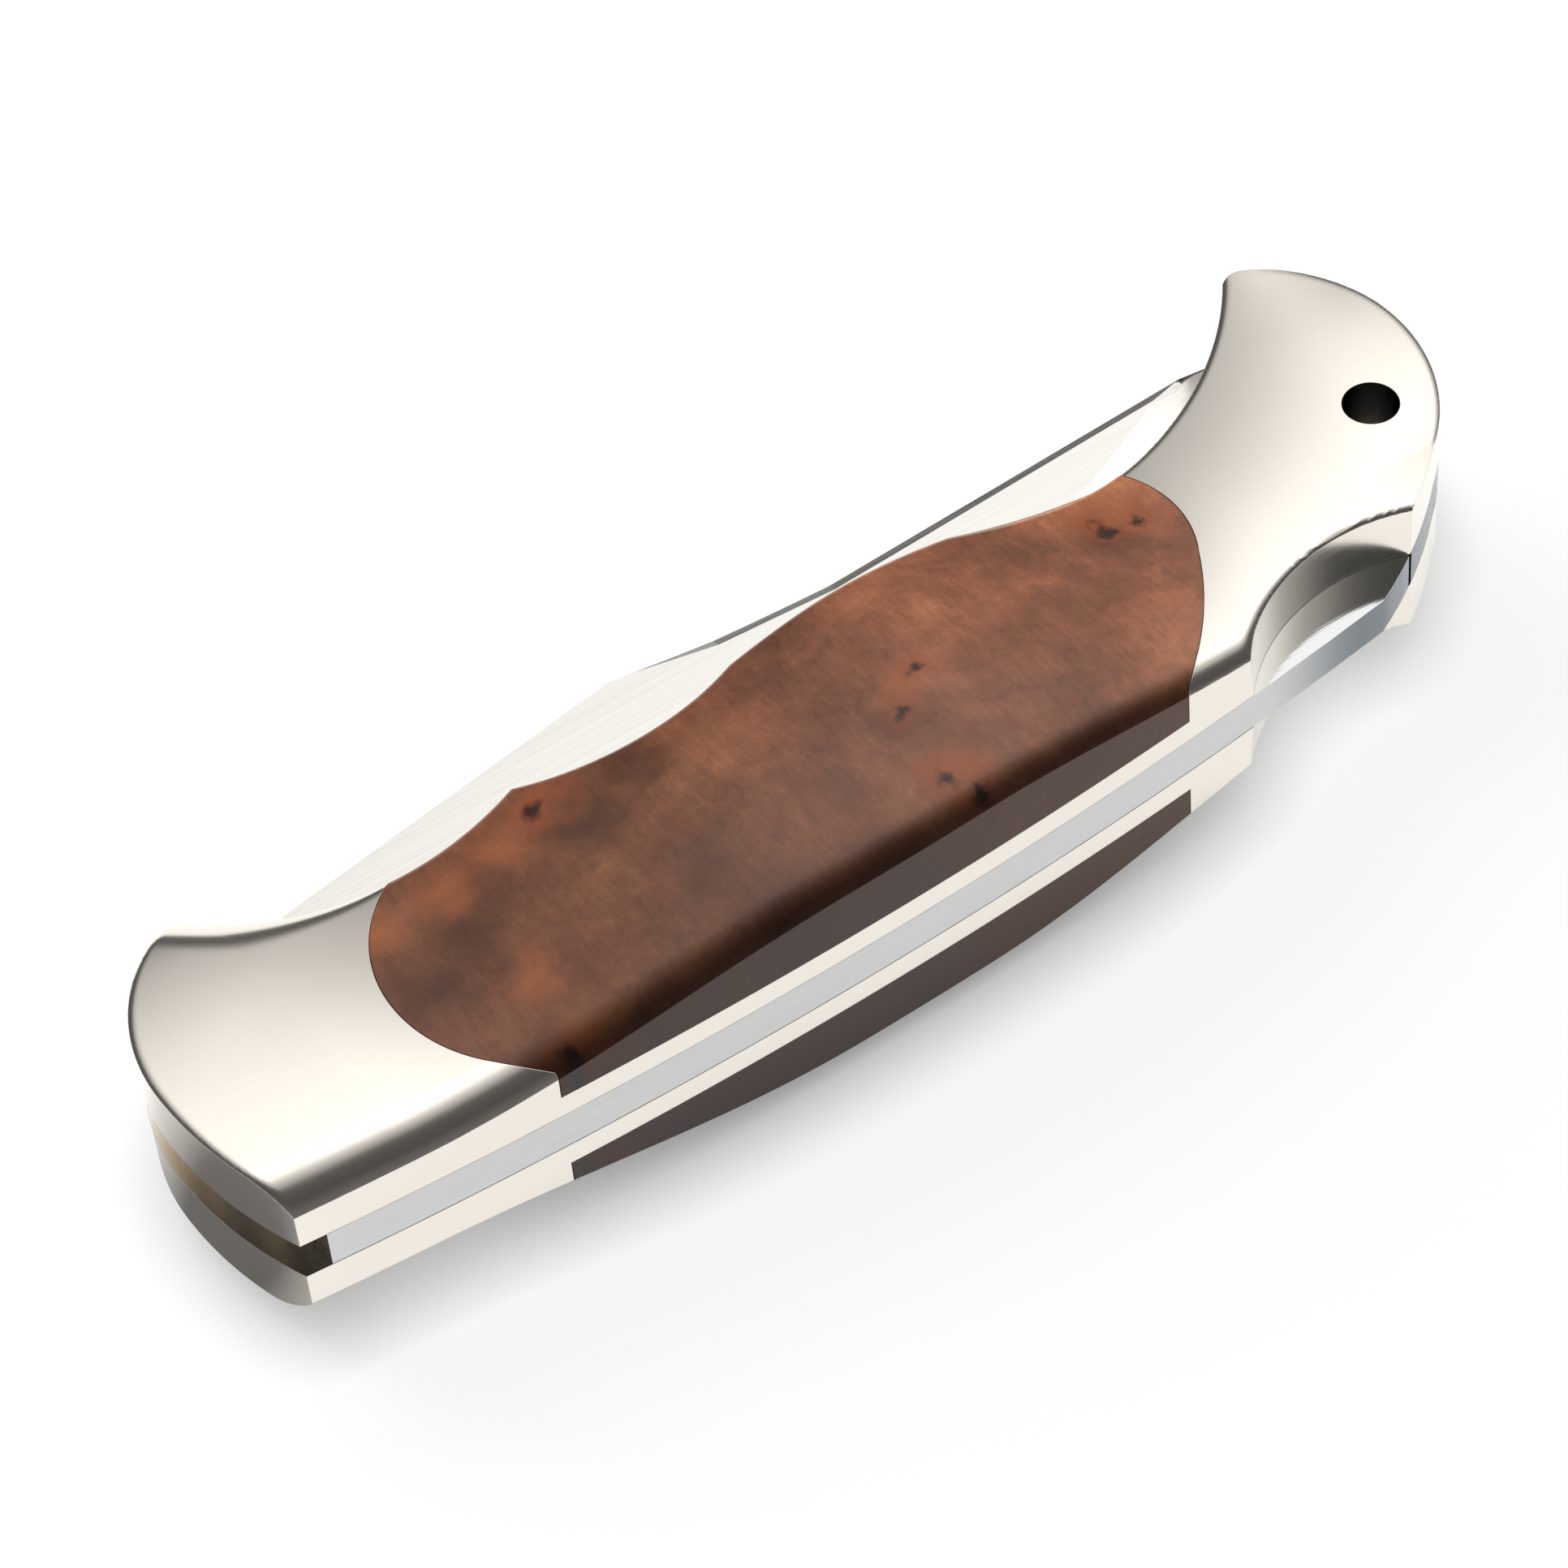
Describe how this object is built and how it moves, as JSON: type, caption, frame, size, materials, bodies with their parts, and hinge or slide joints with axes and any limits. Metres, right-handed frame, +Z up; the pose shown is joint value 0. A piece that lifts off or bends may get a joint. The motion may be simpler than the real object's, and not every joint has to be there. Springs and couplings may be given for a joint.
{
  "type": "folding pocket knife",
  "caption": "Folding knife with a rear lock bar, clip-point blade, domed metal frames, wood inlays and a lanyard hole, shown closed.",
  "frame": {"origin": "on the floor under the middle of the knife's box, lying closed on its right side", "axes": "+X from the pivot end to the butt, +Y from the back with the lock bar to the blade side, +Z up through the thickness to the left side"},
  "size_m": [0.11, 0.0336, 0.0207],
  "materials": {
    "frame_metal": "nickel silver, satin",
    "burl_wood": "stabilised burl, satin polish",
    "blade_steel": "satin, hardened",
    "bar_steel": "brushed",
    "bronze": "plain bronze"
  },
  "bodies": {
    "handle": {"left_frame": "frame_metal", "right_frame": "frame_metal", "left_inlay": "burl_wood", "right_inlay": "burl_wood", "butt_spacer": "bar_steel", "lock_spring": "bar_steel", "pivot_pin": "frame_metal", "left_pivot_washer": "bronze", "right_pivot_washer": "bronze", "lock_bar_pin": "bar_steel", "lower_rear_rivet": "frame_metal", "upper_rear_rivet": "frame_metal"},
    "blade": {"blade": "blade_steel"},
    "lock_bar": {"lock_bar": "bar_steel"}
  },
  "joints": [
    {"name": "blade_swing", "type": "hinge", "parent": "handle", "child": "blade", "pos_m": [-0.04466, -0.0026, 0.01034], "axis": [0, 0, 1], "range_deg": [0, 180]},
    {"name": "lock_bar_rock", "type": "hinge", "parent": "handle", "child": "lock_bar", "pos_m": [-0.0022, -0.01302, 0.01034], "axis": [0, 0, 1], "range_deg": [-1.1, 1.25], "stiffness_Nm_per_rad": 20, "deforming": ["lock_spring"]}
  ]
}
